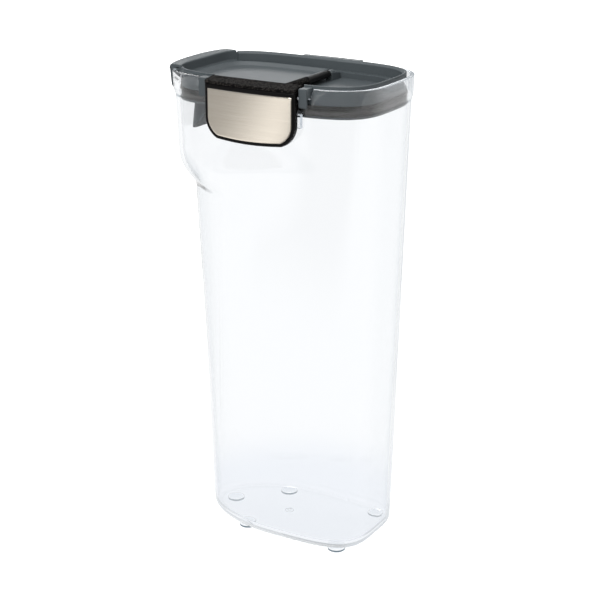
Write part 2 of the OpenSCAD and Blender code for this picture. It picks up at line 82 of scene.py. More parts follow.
def add(tree, kind, links=None, **settings):
    """Adds one node: settings are its own options, links are its inputs."""
    node = tree.nodes.new("ShaderNode" + kind)
    for key, value in settings.items():
        setattr(node, key, value)
    plug(tree, node, links or {})
    return node


def start_material(name, bare=False):
    """A new material and its node tree, which is left empty if bare."""
    material = bpy.data.materials.new(name)
    material.use_nodes = True
    if bare:
        material.node_tree.nodes.clear()
    return material, material.node_tree


def by_ray(tree, diffuse, glossy, bent, straight):
    """Picks a shader by the ray that asks: one that left a matt face, one that a shiny face
    mirrored, one that clear plastic bent, or one straight from the camera."""
    path = add(tree, "LightPath")
    shown = diffuse
    for ray, shader in (("Glossy", glossy), ("Transmission", bent), ("Camera", straight)):
        links = {0: path.outputs["Is " + ray + " Ray"], 1: shown.outputs[0], 2: shader.outputs[0]}
        shown = add(tree, "MixShader", links)
    return shown


room = bpy.data.worlds.new("white_room")
bpy.context.scene.world = room
room.use_nodes = True
tree = room.node_tree
tree.nodes.clear()
where = add(tree, "TexCoord")
split = add(tree, "SeparateXYZ", {0: where.outputs["Generated"]})
band = add(tree, "MapRange", {0: split.outputs["Z"], 1: -0.1, 2: 0.6},
           interpolation_type="SMOOTHSTEP")
walls = add(tree, "Mix", {0: band.outputs[0], 6: linear("#b4bcc2"), 7: linear("#ffffff")},
            data_type="RGBA")
lit = add(tree, "Background", {"Color": linear("#ffffff"), "Strength": 1.06})
mirrored = add(tree, "Background", {"Color": walls.outputs[2], "Strength": 0.6})
bent = add(tree, "Background", {"Color": walls.outputs[2], "Strength": 1.0})
white = add(tree, "Background", {"Color": linear("#ffffff"), "Strength": 1.0})
shown = by_ray(tree, lit, mirrored, bent, white)
add(tree, "OutputWorld", {"Surface": shown.outputs[0]})

lamps = {  # name: place, aim, width, height, watts
    "soft_box_above": ((-0.35, 0.25, 1.35), (0, 0, 0.25), 0.6, 0.45, 2.6),
    "soft_box_front": ((0.05, -1.0, 1.35), (0, 0, 0.3), 0.8, 0.8, 17),
    "soft_box_behind": ((-1.05, 1.8, 1.03), (0, 0, 0.31), 0.7, 0.36, 3)}
for name, (place, aim, width, height, power) in lamps.items():
    lamp = bpy.data.lights.new(name, "AREA")
    lamp.shape, lamp.size, lamp.size_y, lamp.energy = "RECTANGLE", width, height, power
    holder = bpy.data.objects.new(name, lamp)
    holder.location = place
    holder.visible_transmission = False
    holder.rotation_euler = (Vector(aim) - Vector(place)).to_track_quat("-Z", "Y").to_euler()
    bpy.context.collection.objects.link(holder)

around = np.linspace(0, 2 * np.pi, 97)[:-1]
sweep_r = 7
sheet = bpy.data.meshes.new("sweep")
outline = sweep_r * np.stack([np.cos(around), np.sin(around), 0 * around], 1)
sheet.from_pydata(outline, [], [list(range(len(outline)))])
sweep = bpy.data.objects.new("sweep", sheet)
bpy.context.collection.objects.link(sweep)

# To the camera the sweep takes soft shadows near the keeper and glows white further off. Through
# clear plastic it shows a faint painted shade under the keeper and turns grey with distance.
# Mirrored, it shows a painted sheen, bright close in front and in a band to the left and dim
# elsewhere, which shades the steel plate and the skirt behind the clear wall.
paper, tree = start_material("white_paper", bare=True)
where = add(tree, "TexCoord")
far_off = add(tree, "VectorMath", {0: where.outputs["Object"]}, operation="LENGTH").outputs["Value"]
lift = add(tree, "MapRange", {0: far_off, 1: 0.25, 2: 0.9, 3: 0.3, 4: 1.0})
near = add(tree, "MapRange", {0: far_off, 1: 0.08, 2: 0.16}, interpolation_type="SMOOTHSTEP")
dusk = add(tree, "MapRange", {0: far_off, 1: 1.4, 2: 2.6}, interpolation_type="SMOOTHSTEP")
# A painted shade: bluish grey just under the keeper, fading to white between 8 and 16 cm out.
painted_shade_under_keeper = add(tree, "Mix", {0: near.outputs[0], 6: linear("#f4f6fa"), 7: linear("#ffffff")},
               data_type="RGBA")
shade = add(tree, "Mix", {0: dusk.outputs[0], 6: painted_shade_under_keeper.outputs[2], 7: linear("#c0c7cc")},
            data_type="RGBA")
matt = add(tree, "BsdfDiffuse", {"Color": linear("#e6e6e6")})
glow = add(tree, "Emission", {"Color": linear("#ffffff"), "Strength": lift.outputs[0]})
straight = add(tree, "AddShader", {0: matt.outputs[0], 1: glow.outputs[0]})
bounce = add(tree, "BsdfDiffuse", {"Color": linear("#a4a4a4")})
through = add(tree, "Emission", {"Color": shade.outputs[2], "Strength": 1.03})
across = add(tree, "SeparateXYZ", {0: where.outputs["Object"]})
# A painted sheen: for mirrored rays the floor glows by place, to shade the plate and the skirt.
painted_sheen = add(tree, "MapRange", {0: across.outputs["X"], 1: -0.85, 2: -0.5, 3: 0.4, 4: 1.2})
fall = add(tree, "MapRange", {0: across.outputs["X"], 1: -0.4, 2: -0.2, 3: 1.0, 4: 0.15},
           interpolation_type="SMOOTHSTEP")
painted_sheen = add(tree, "Math", {0: painted_sheen.outputs[0], 1: fall.outputs[0]}, operation="MULTIPLY")
close = add(tree, "MapRange", {0: across.outputs["Y"], 1: -0.75, 2: -0.35, 3: 0.0, 4: 1.2},
            interpolation_type="SMOOTHSTEP")
painted_sheen = add(tree, "Math", {0: painted_sheen.outputs[0], 1: close.outputs[0]}, operation="MAXIMUM")
mirrored = add(tree, "Emission", {"Color": linear("#ffffff"), "Strength": painted_sheen.outputs[0]})
shown = by_ray(tree, bounce, mirrored, through, straight)
add(tree, "OutputMaterial", {"Surface": shown.outputs[0]})
sheet.materials.append(paper)


# The clear body: copolyester, injection moulded with a 2.3 mm wall. It is a tapered keeper with
# a pointed, hand-wide grip under a squarer head; a stouter band carries the rim.
def ring(angle, centre, nose, tail, half, p, q, n):
    """Outline of two superellipse halves: x = centre - (nose + centre) cos^(2/p) a in front and
    centre + (tail - centre) cos^(2/n) a behind, y = half sin^(2/q) a or half sin^(2/n) a,
    with tan a = tan(angle)^(m/2), m the half's mean power, so that the columns run evenly."""
    front = np.cos(angle) < 0
    power = np.where(front, (p + q) / 2, n)
    a = np.arctan2(np.abs(np.sin(angle)) ** (power / 2), np.abs(np.cos(angle)) ** (power / 2))
    x = np.where(front, centre - (nose + centre) * np.cos(a) ** (2 / p),
                 centre + (tail - centre) * np.cos(a) ** (2 / n))
    y = half * np.sign(np.sin(angle)) * np.sin(a) ** (2 / np.where(front, q, n))
    return x, y, a


def build(name, points, faces, body, node, slot, material, edge=None):
    """Makes one closed piece from points in mm: faces turned outwards, edges over 40 degrees left
    crisp. It rides on body, stands for the CAD's node and takes material; slot is not used. With
    edge, hard edges are rounded by so many mm (0 for none) and the flats are kept flat."""
    mesh = bpy.data.meshes.new(name)
    mesh.from_pydata(points / 1000, [], faces)
    tidy = bmesh.new()
    tidy.from_mesh(mesh)
    bmesh.ops.remove_doubles(tidy, verts=tidy.verts, dist=2e-6)
    bmesh.ops.dissolve_degenerate(tidy, edges=tidy.edges, dist=1e-7)
    bmesh.ops.recalc_face_normals(tidy, faces=tidy.faces)
    tidy.to_mesh(mesh)
    tidy.free()
    mesh.shade_smooth()
    mesh.set_sharp_from_angle(angle=math.radians(40))
    mesh.materials.append(material)
    piece = bpy.data.objects.new(name, mesh)
    bpy.context.collection.objects.link(piece)
    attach(piece, body)
    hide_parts(node)
    if edge:
        bevel = piece.modifiers.new("edge", "BEVEL")
        bevel.width, bevel.segments = edge / 1000, 2
        bevel.limit_method, bevel.angle_limit = "ANGLE", math.radians(40)
    if edge is not None:
        piece.modifiers.new("flats", "WEIGHTED_NORMAL").keep_sharp = True


def skin(name, grid, wrap_rows, *fitting, **finish):
    """Closes a (rows, columns, 3) grid of points in mm into one piece: its columns run round, and
    its rows run round too with wrap_rows, or else end in a pole or an open cap."""
    rows, columns = grid.shape[:2]
    index = np.arange(rows * columns).reshape(rows, columns)
    down = np.roll(index, -1, 0) if wrap_rows else index[1:]
    here = index if wrap_rows else index[:-1]
    quads = np.stack([here, np.roll(here, -1, 1), np.roll(down, -1, 1), down], -1)
    build(name, grid.reshape(-1, 3), quads.reshape(-1, 4).tolist(), *fitting, **finish)


def circle(turn, x, y, r, z):
    """A level circle of radius r mm about (x, y) at height z, one point for each angle of turn."""
    return np.stack([x + r * np.cos(turn), y + r * np.sin(turn), np.full_like(turn, z)], -1)


# The moulding's heights, walls and base radius in mm, its rim's reach each way and the powers of
# its head and tail, which the lid repeats. The rim's notches for the latch in front and for the
# hinge behind are (half width, height of the sill).
rim_h, wall, band_wall, foot_h, floor_t, base_r = 315.0, 2.3, 2.6, 2.0, 2.8, 5.0
rim_nose, rim_tail, head_power, tail_power = 73.6, 74.6, 4.5, 3.9
latch_notch, hinge_notch = (39.8, 308.7), (22.8, 308.4)


def smooth(t):
    """3 u^2 - 2 u^3 with u held between 0 and 1."""
    u = np.clip(t, 0, 1)
    return u * u * (3 - 2 * u)


def body_ring(angle, z, inset):
    """The body's outline at height z, moved in by inset: widths grow evenly from base to rim, and
    the front half turns from a pointed nose (powers 2 and 1.7) to the square head. Its flanks are
    pinched in. Outside, a low ridge exp(-u^2) runs up each rear corner, a softer one each flank."""
    t = (z - foot_h) / (rim_h - foot_h)
    head = smooth((z - 235) / 27)
    grip = 1.72 + 0.34 * smooth((t - 0.36) / 0.4)
    out = 0.8 * smooth((z - 298) / 5) - inset
    if inset == 0:
        turned_to = np.degrees(np.minimum(angle, 2 * np.pi - angle))
        rear = np.exp(-((turned_to - 41.7 + 0.0115 * z) / 0.9) ** 2) * smooth((z - 8) / 10)
        nose = np.exp(-((turned_to - 128.6 + 0.084 * (z - 100)) / 2.6) ** 2)
        out = out + 0.14 * rear + 0.3 * nose * smooth((z - 60) / 40) * (1 - head)
    nose, tail, half = 61.4 + 11.4 * t + out, 66.6 + 7.2 * t + out, 38.9 + 8.8 * t + out
    x, y, a = ring(angle, 4 * (1 - t), nose, tail, half,
                   2 + (head_power - 2) * head, grip + (head_power - grip) * head, tail_power)
    crease = np.where(np.cos(angle) < 0, smooth(1 - np.abs(np.sin(a) - 0.62) / 0.3), 0)
    pinch = 1.4 * smooth((t - 0.2) / 0.4) * (1 - head)
    return np.stack([x, y - np.sign(y) * crease * pinch, np.full_like(x, z)], -1)


def rim_angle(x, front):
    """The column whose point on the rim lies at x: the inverse of ring()."""
    length, power = (rim_nose, head_power) if x < 0 else (rim_tail, tail_power)
    a = math.acos((abs(x) / length) ** (power / 2))
    angle = math.atan(math.tan(a) ** (2 / power))
    angle = math.pi - angle if x < 0 else angle
    return 2 * math.pi - angle if front else angle


# Columns close up at the rear corners and stand in pairs at the ends of the notches.
angles = list(np.linspace(0, 2 * np.pi, 241)[:-1])
for (reach, _), front in ((latch_notch, True), (hinge_notch, False)):
    for x in (-reach, reach):
        angles += [rim_angle(x, front) - 2e-5, rim_angle(x, front) + 2e-5]
angles += [side * math.radians(b) for side in (1, -1) for b in np.arange(36.2, 44, 0.4)]
angles = np.sort(np.array(angles) % (2 * math.pi))

# Rows run as (height, inset) from the base up the outside, round the rim and down the inside.
arc = np.radians([0, 12, 25, 38, 52, 66, 78, 90])
turn_up = [(base_r * (1 - math.cos(b)), base_r * (1 - math.sin(b))) for b in arc]
under = [(foot_h + up, inward) for up, inward in turn_up]
inner = [(foot_h + floor_t + up, wall + inward) for up, inward in turn_up]
sides = [*np.linspace(15, 229, 20), *np.linspace(234, 266, 24), *np.linspace(272, 296, 5),
         298, 299, 300, 301, 302, 303]
rows = under + [(z, 0) for z in sides]
rows += [(314.2, 0), (314.5, 0.07), (314.75, 0.22), (314.93, 0.45), (315, 0.75),
         (315, 1.85), (314.93, 2.15), (314.75, 2.38), (314.5, 2.53), (314.2, 2.6)]
rows += [(z, band_wall if z > 299 else wall) for z in sides[::-1]] + inner[::-1]
shell = np.stack([body_ring(angles, z, inset) for z, inset in rows])

rim = body_ring(angles, 310, 0)
in_front = rim[:, 1] < 0
width, low = np.where(in_front[:, None], latch_notch, hinge_notch).T
notch = (np.abs(rim[:, 0]) < width) & (np.abs(rim[:, 1]) > 40)
shell[..., 2] = np.where((shell[..., 2] > low) & notch, low, shell[..., 2])

# Under the base the mould's gate has left a shallow ring, a little towards the spout.
gate_x = -2
gate = [circle(angles, gate_x, 0, r, z) for r, z in ((0, 2), (1, 2), (1.3, 3), (2.8, 3), (3.1, 2))]
middle = circle(angles, gate_x, 0, 0, foot_h + floor_t)


def clear_plastic(name, tint, edge, wave, rims=False):
    """Clear plastic from a polished mould. It bends light as 1.5 does and lets lamplight through.
    It takes the edge tint where it is seen at a slant, through more plastic, or with rims on its
    upright faces, where the tint is a painted shade. Near the spout its slanting edges take a
    painted dark line. A ray that its walls have caught ends in a painted glow, dimmer at the spout."""
    material, tree = start_material(name, bare=True)
    place = add(tree, "TexCoord")
    flow = add(tree, "TexNoise", {
        "Vector": place.outputs["Object"], "Scale": 1 / 0.045, "Detail": 1.0})
    ripple = add(tree, "Bump", {"Height": flow.outputs["Fac"], "Strength": wave, "Distance": 0.001})
    slant = add(tree, "LayerWeight", {"Blend": 0.5})
    depth = add(tree, "MapRange", {0: slant.outputs["Facing"], 1: 0.3, 2: 1.0, 3: 0.0, 4: 1.0})
    depth = add(tree, "Math", {0: depth.outputs[0], 1: 2.0}, operation="POWER")
    if rims:
        # Upright faces take the edge colour as a painted shade, weaker on their back faces.
        surface = add(tree, "NewGeometry")
        facing = add(tree, "SeparateXYZ", {0: surface.outputs["Normal"]})
        flat = add(tree, "Math", {0: facing.outputs["Z"]}, operation="ABSOLUTE")
        dark = add(tree, "MapRange", {0: surface.outputs["Backfacing"], 3: 1.0, 4: 0.25})
        depth = add(tree, "MapRange", {
            0: flat.outputs[0], 1: 0.2, 2: 0.8, 3: dark.outputs[0], 4: 0.0})
    # Near the spout end, a painted dark line shades the edges seen at a slant.
    spot = add(tree, "VectorMath", {0: place.outputs["Object"], 1: (1, 0, -0.25)},
               operation="DOT_PRODUCT")
    spout = add(tree, "MapRange", {0: spot.outputs["Value"], 1: -0.12, 2: -0.085, 3: 1.0, 4: 0.0})
    line = add(tree, "MapRange", {0: slant.outputs["Facing"], 1: 0.8, 2: 0.97, 3: 0.0, 4: 1.0})
    line = add(tree, "Math", {0: line.outputs[0], 1: spout.outputs[0]}, operation="MULTIPLY")
    shade = add(tree, "Mix", {0: depth.outputs[0], 6: linear(tint), 7: linear(edge)},
                data_type="RGBA")
    shade = add(tree, "Mix", {0: line.outputs[0], 6: shade.outputs[2], 7: linear("#39434a")},
                data_type="RGBA")
    solid = add(tree, "BsdfPrincipled", {
        "Base Color": shade.outputs[2], "Roughness": 0.0, "IOR": 1.5, "Transmission Weight": 1.0,
        "Specular IOR Level": 0.15, "Normal": ripple.outputs[0]})
    open_way = add(tree, "BsdfTransparent", {"Color": linear("#eef0f1")})
    # Rays caught in the walls end in a painted glow, weaker near the spout.
    path = add(tree, "LightPath")
    caught = add(tree, "Math", {0: path.outputs["Ray Depth"], 1: 12.0}, operation="GREATER_THAN")
    painted_glow_strength = add(tree, "MapRange", {0: spout.outputs[0], 3: 0.74, 4: 0.12})
    glow = add(tree, "Emission", {"Color": linear("#f2f7fc"), "Strength": painted_glow_strength.outputs[0]})
    inside = add(tree, "MixShader", {0: caught.outputs[0], 1: solid.outputs[0], 2: glow.outputs[0]})
    both = add(tree, "MixShader", {
        0: path.outputs["Is Shadow Ray"], 1: inside.outputs[0], 2: open_way.outputs[0]})
    add(tree, "OutputMaterial", {"Surface": both.outputs[0]})
    return material


clear = clear_plastic("clear_copolyester", "#fbfcfd", "#a3afb8", 0.15)
skin("clear_body", np.stack([*gate, *shell, middle]), False, "container", "body", "clear", clear)

# The feet: five soft clear discs, 12 mm across and 2 mm high, set into the base's corners and
# under the nose. Their rounded, upright rims take a dark painted shade, which draws a ring round
# each.
clear_soft = clear_plastic("clear_soft_vinyl", "#f4f6f8", "#0b1f2e", 0.1, rims=True)
round_turn = np.linspace(0, 2 * np.pi, 65)[:-1]
disc = [(0, 0), (4.9, 0), (5.5, 0.15), (5.85, 0.5), (6, 1), (6, 1.8), (5.9, 1.95), (0, 1.95)]
feet = {"foot_spout": (-46.5, 0), "foot_front_left": (-19, -28.5), "foot_front_right": (51, -28.5),
        "foot_back_left": (-19, 28.5), "foot_back_right": (51, 28.5)}
for name, (x, y) in feet.items():
    grid = np.stack([circle(round_turn, x, y, r, z) for r, z in disc])
    skin("soft_" + name, grid, False, "container", name, "clear_foot", clear_soft)

# The lid: one injection moulding in slate-grey ABS with a fine matt mould grain. Its skirt drops
# into the mouth, its chamfered wall stands round a recess, and a step runs round the recess floor.
lid_nose, lid_tail, lid_half = 69.0, 70.0, 43.9
latch_cut, tab_cut = 33.1, 33.5
recess_h, step_h = 305.1, 309.0


def lid_turns(x, y):
    """Columns of the lid's outline whose points lie at x, or for a spout-end column at y."""
    behind = x is not None and x > 0
    power = tail_power if behind else head_power
    if x is None:
        a = math.asin((abs(y) / lid_half) ** (power / 2))
    else:
        a = math.acos((abs(x) / (lid_tail if behind else lid_nose)) ** (power / 2))
    angle = math.atan(math.tan(a) ** (2 / power))
    return angle if behind else math.pi - angle


# The lid's columns stand in pairs at the ends of its cuts and of its step.
step_x, turn = -34.5, 2 * math.pi
tab_end, step_end = lid_turns(None, tab_cut), lid_turns(step_x, None)
cuts = [turn - lid_turns(x, None) for x in (-latch_cut, latch_cut)] + [tab_end, turn - tab_end]
turns = list(np.linspace(0, turn, 289)[:-1])
for end in cuts:
    turns += [end - 2e-5, end + 2e-5]
turns += [step_end - 1e-4, step_end + 1e-4]
turns = np.sort(np.array(turns))


def lid_ring(z, inset, angle=None):
    """The lid's outline, moved in by inset, at height z."""
    angle = turns if angle is None else angle
    x, y, a = ring(angle, 0, lid_nose - inset, lid_tail - inset, lid_half - inset,
                   head_power, head_power, tail_power)
    return np.stack([x, y, np.full_like(x, z)], -1)


def mouth_ring(z, inset, angle=None, lean=0.0):
    """The pouring opening's outline: a superellipse of power 5, its spout end moved out by lean."""
    angle = turns if angle is None else angle
    x, y, a = ring(angle, -31.5, 60 + lean - inset, -3 - inset, 27 - inset, 5, 5, 5)
    return np.stack([x, y, np.full_like(x, z)], -1)


def grain(name, colour, other, roughness, size, depth, shine):
    """Moulded plastic: two near shades in patches of about 18 mm, and a fine spark-eroded grain
    (size and depth in mm), which softens the highlight."""
    material, tree = start_material(name)
    place = add(tree, "TexCoord")
    cloud = add(tree, "TexNoise", {
        "Vector": place.outputs["Object"], "Scale": 1000 / 18, "Detail": 2.0})
    shade = add(tree, "Mix", {0: cloud.outputs["Fac"], 6: linear(colour), 7: linear(other)},
                data_type="RGBA")
    fine = add(tree, "TexNoise", {
        "Vector": place.outputs["Object"], "Scale": 1000 / size, "Detail": 3.0})
    bump = add(tree, "Bump", {
        "Height": fine.outputs["Fac"], "Strength": 0.6, "Distance": depth / 1000})
    gloss = add(tree, "MapRange", {
        0: fine.outputs["Fac"], 1: 0.3, 2: 0.7, 3: roughness - 0.05, 4: roughness + 0.07})
    plug(tree, tree.nodes["Principled BSDF"], {
        "Base Color": shade.outputs[2], "Normal": bump.outputs[0], "Roughness": gloss.outputs[0],
        "IOR": 1.5, "Specular IOR Level": shine})
    return material


grey = grain("slate_grey_abs", "#3e4447", "#444a4d", 0.45, 0.35, 0.02, 0.35)

# The wall is cut down for the latch in front and for the thumb tab at the spout end, where the
# step runs out too. The profile's pairs (inset, height) go down inside the skirt, up outside it
# past the seal's groove, over the wall's top and down by the step to the recess.
x, y = lid_ring(0, 0)[:, :2].T
top = np.where((np.abs(x) < latch_cut) & (y < 0), 307.0, np.inf)
top = np.where((np.abs(y) < tab_cut) & (x < 0), recess_h, top)
step = np.where(x < step_x, recess_h, step_h)
profile = [(2.6, 303.1), (2.6, 296.9), (2.5, 296.6), (2.2, 296.5), (0.4, 296.5), (0.1, 296.6),
           (0, 296.9), (0, 298.0), (1.2, 298.0), (1.2, 304.7), (0, 304.7), (0, 310), (0, 315.9),
           (0.17, 316.33), (0.5, 316.5), (0.9, 316.5), (1.05, 316.45), (1.2, 316.3), (2.35, 315.3),
           (2.5, 315.15), (2.6, 314.9), (2.6, 309.35), (2.68, 309.1), (2.9, 309.0), (5.2, 309.0),
           (5.5, 308.9), (5.6, 308.6), (5.6, 305.5), (5.7, 305.2), (6.0, 305.1)]
rows = []
for inset, z in profile:
    row = lid_ring(z, inset)
    if z > recess_h:
        row[:, 2] = np.minimum(z, top)
        if z < 309.4 and inset >= 2.6:
            row[:, 2] = np.minimum(row[:, 2], step + max(z - step_h, 0))
    rows.append(row)
rows += [mouth_ring(recess_h, -0.3), mouth_ring(304.8, 0), mouth_ring(303.1, 0)]
skin("lid_pan", np.stack(rows), True, "lid", "lid_frame", "grey", grey, edge=0)


def bar(name, outline, start, end, axis, *fitting, **finish):
    """A straight moulded bar: the outline (pairs in mm) carried along one axis from start to end.
    Axis x takes (y, z) pairs and axis y takes (x, z) pairs."""
    wide, high = np.array(outline, float).T
    count = len(wide)
    ends = []
    for at in (start, end):
        along = np.full(count, float(at))
        ends.append(np.stack([along, wide, high] if axis == "x" else [wide, along, high], -1))
    faces = [list(range(count))[::-1], [count + i for i in range(count)]]
    faces += [[i, (i + 1) % count, count + (i + 1) % count, count + i] for i in range(count)]
    build(name, np.concatenate(ends), faces, *fitting, **finish)


def round_bar(across, up, r, low, high, count=24):
    """Points on a circle of radius r about (across, up), from the angle low to high in degrees."""
    b = np.radians(np.linspace(low, high, count))
    return np.stack([across + r * np.cos(b), up + r * np.sin(b)], -1).tolist()


# The three hinge lines: (y, z) of the lid's and of the latch's, which run along x, and (x, z) of
# the flap's, which runs along y.
hinge_at, latch_at, flap_at = (51.5, 310.7), (-46, 311.6), (10.5, 309.4)

# The ears each side of the latch hook over the rim and hold the ends of the latch's pin.
on_lid = ("lid", "lid_frame", "grey", grey)
ear = [(-41.5, 309), (-41.5, 315.3), (-50.2, 315.3), (-50.6, 315.1), (-50.8, 314.7),
       (-50.8, 304.4), (-50.2, 303.2), (-49.2, 303.2), (-49.2, 309)]
bar("latch_ear_left", ear, -39, -33.3, "x", *on_lid, edge=0.35)
bar("latch_ear_right", ear, 33.3, 39, "x", *on_lid, edge=0.35)

# The hinge tongue reaches over the rim behind: two knuckles, a web and a cover strip over them.
knuckle = [(41.5, 308.7), *round_bar(*hinge_at, 3, -138, 0), (54.5, 312.7), (53, 315.4),
           (41.5, 315.4)]
web = [(41.5, 308.7), (47.4, 308.7), (47.4, 314.0), (53, 314.0), (53, 315.4), (41.5, 315.4)]
bar("hinge_knuckle_left", knuckle, -22, -8, "x", *on_lid, edge=0.3)
bar("hinge_knuckle_right", knuckle, 8, 22, "x", *on_lid, edge=0.3)
bar("hinge_web", web, -8.05, 8.05, "x", *on_lid, edge=0)

# The flap's pin sits in a round boss on the far side, which a web ties to the wall, and in a
# thin lug on the near side.
lug = [(12.7, 305.0), *round_bar(*flap_at, 2.2, 0, 180), (8.3, 305.0)]
web = [(27.2, 305.0), (27.2, 310.6), (38.3, 309.02), (41.6, 309.02), (41.6, 305.0)]
bar("flap_boss", lug, 27, 32.5, "y", *on_lid, edge=0.5)
bar("boss_web", web, 8.2, 13.2, "x", *on_lid, edge=0.3)
bar("flap_lug", lug, -39.8, -38.1, "y", *on_lid, edge=0.25)

# The lid's seal: dark silicone in the skirt's groove, with two lips that wipe the clear wall.
silicone = grain("dark_silicone", "#131210", "#191815", 0.55, 0.6, 0.01, 0.2)
even = np.linspace(0, 2 * np.pi, 241)[:-1]
lips = [(1.2, 298.0), (0.2, 298.0), (-0.2, 298.1), (-0.48, 298.4), (-0.48, 298.9), (-0.3, 299.3),
        (0, 299.5), (0, 303.0), (-0.5, 303.2), (-0.88, 303.5), (-0.88, 304.1), (-0.6, 304.4),
        (0.2, 304.7), (1.2, 304.7)]
rows = [lid_ring(z, inset, even) for inset, z in lips]
skin("lid_seal", np.stack(rows), True, "lid", "lid_gasket", "seal", silicone, edge=0)

# The pouring chute: a thin grey collar under the opening, cut on the slant so that it is longest
# at the spout end, welded to the lid by its flange.
chute_lean = 4.2
tip = mouth_ring(0, 0, even, chute_lean)[:, 0]
edge = np.interp(tip, [-64.2, -63.8, -61.1, -58.5, -40.2, -26.2, 0],
                 [273.6, 273.8, 275.7, 278.2, 295.4, 300.7, 300.7])
collar = [mouth_ring(303.1, 0, even)]
for out, lift in ((0, 0.4), (0.2, 0.1), (0.8, 0), (1.4, 0.1), (1.6, 0.4)):
    high, low = mouth_ring(0, -out, even), mouth_ring(0, -out, even, chute_lean)
    height = edge + lift
    row = high + (low - high) * ((302.1 - height) / 28.5)[:, None]
    row[:, 2] = height
    collar.append(row)
collar += [mouth_ring(z, -out, even) for z, out in ((302.1, 1.6), (302.1, 4.1), (303.1, 4.1))]
skin("pouring_chute", np.stack(collar), True, "lid", "pour_chute", "grey", grey, edge=0)

# The flap: a dished pan in the same grey ABS. Its thumb tab hooks over the rim at the spout end
# and hangs outside it in a short lip.
flap_turns = np.linspace(0, 2 * np.pi, 289)[:-1]


def flap_ring(z, inset):
    """The pan's outline: power 5 towards the tab, nearly square (12) at the hinge."""
    x, y, a = ring(flap_turns, 0, 65.9 - inset, 6 - inset, 37.8 - inset, 5, 5, 12)
    return np.stack([x, y, np.full_like(x, z)], -1)


pan = [(0.3, 306.7), (0, 307.0), (0, 310.0), (0.12, 310.28), (0.4, 310.4), (1.0, 310.4),
       (1.3, 310.33), (1.6, 310.1), (3.8, 308.6), (4.2, 308.38), (4.8, 308.3)]
rows = [flap_ring(z, inset) for inset, z in pan]
centre = np.array([-30.0, 0])
under = rows[0].copy()
under[:, :2] = centre
last = rows[-1]
for share in (0.75, 0.5, 0.25, 0.0):
    row = last.copy()
    row[:, :2] = centre + (last[:, :2] - centre) * share
    rows.append(row)
skin("flap_pan", np.stack([under] + rows), False, "flap", "flap", "grey", grey, edge=0)


def tab_row(y, inset, z):
    """Points of the tab at the stations y: on the lid's outline moved in by inset."""
    share = np.abs(y) / (lid_half - inset)
    x = -(lid_nose - inset) * (1 - share ** head_power) ** (1 / head_power)
    return np.stack([x, y, np.full_like(y, z)], -1)


# Each corner of the tab's section: inset, height, and how far a narrow tongue past its ends lies
# below it, which closes the seam to the lid's wall.
tab_section = [
    (7.0, 307.1, 0), (-1.2, 307.1, 0), (-1.2, 315.6, 1.4), (-5.3, 315.6, 1.4), (-5.3, 300.9, 1.4),
    (-5.6, 300.6, 1.4), (-6.0, 300.5, 1.4), (-6.4, 300.6, 1.4), (-6.62, 300.85, 1.4),
    (-6.7, 301.3, 1.4), (-6.7, 316.7, 1.4), (-6.62, 317.3, 1.4), (-6.35, 317.85, 1.4),
    (-5.95, 318.2, 1.4), (-5.4, 318.35, 1.4), (-4.8, 318.25, 1.4), (-0.6, 317.1, 1.4),
    (-0.1, 316.95, 1.4), (0.3, 316.7, 1.4), (0.52, 316.4, 1.4), (0.6, 316.0, 1.4),
    (0.6, 311.4, 1), (0.8, 310.8, 0.9), (1.3, 310.4, 0.8), (3.9, 310.2, 0.6), (7.0, 308.2, 0)]
half = np.array([*np.linspace(0, 25, 26), *np.linspace(25.5, 30, 10), *np.linspace(30.6, 32.4, 4)])
stations = np.concatenate([-half[:0:-1], half])

# The lip's lower edge curves up to its ends, and the crown falls a little to them outside.
lift = np.interp(np.abs(stations), [26, 27.4, 28.7, 29.6, 30, 32.4], [0, 0.5, 1.5, 2.8, 4, 14.6])
columns = []
for inset, z, sunk in tab_section:
    lip, crown = inset < -4 and z < 302, z > 315.7
    row = tab_row(stations, inset, z)
    row[:, 2] += lift * lip
    row[:, 2] += (stations / 33) ** 2 * np.interp(inset, [-5.4, 0], [-1.0, 0.4]) * crown
    tongue = tab_row(np.array([32.4, 33.42]), inset + 0.4 * (inset > -4 and sunk > 0), z - sunk)
    tongue[:, 2] -= 1.0 * (crown and inset < -0.5)
    if lip:
        tongue[:, 2] = np.maximum(tongue[:, 2], 315.1 + 0.1 * (z - 300))
    columns.append(np.concatenate([tongue[::-1] * (1, -1, 1), row, tongue]))
grid = np.stack(columns)
index = np.arange(grid[..., 0].size).reshape(grid.shape[:2])
down = np.roll(index, -1, 0)
quads = np.stack([index[:, :-1], index[:, 1:], down[:, 1:], down[:, :-1]], -1)
faces = quads.reshape(-1, 4).tolist() + [index[:, 0].tolist(), index[::-1, -1].tolist()]
build("thumb_tab", grid.reshape(-1, 3), faces, "flap", "flap", "grey", grey, edge=0)

# The pan's web carries the barrel, and its seal presses on the lid's floor round the opening.
web = [(4.6, 308.1), (8.6, 308.1), (8.6, 310.1), (4.6, 310.1)]
bar("flap_web", web, -36.3, 25, "y", "flap", "flap", "grey", grey, edge=0.2)
ridge = [(-2.2, 305.4), (-3.4, 305.4), (-4, 305.9), (-4, 306.7), (-1.6, 306.7), (-1.6, 305.9)]
rows = [mouth_ring(z, inset, even) for inset, z in ridge]
skin("flap_seal", np.stack(rows), True, "flap", "flap_gasket", "seal", silicone, edge=0)


# The flap turns on a black barrel. The end beside the latch carries a textured sleeve. Each pin
# is drawn steel wire, 2 or 2.5 mm thick, and shows only through the clear rim and the ears.
def turned(name, profile, axis, at, *fitting):
    """A turned piece: (distance along the axis, radius) pairs in mm carried round the hinge line
    at, which runs along x or y. A profile that starts off the line is a tube."""
    b = round_turn[None, :]
    along, r = np.array(profile, float).T[:, :, None]
    along, wide, high = along + 0 * b, at[0] + r * np.cos(b), at[1] + r * np.sin(b)
    grid = np.stack([along, wide, high] if axis == "x" else [wide, along, high], -1)
    skin(name, grid, profile[0][1] > 0, *fitting)


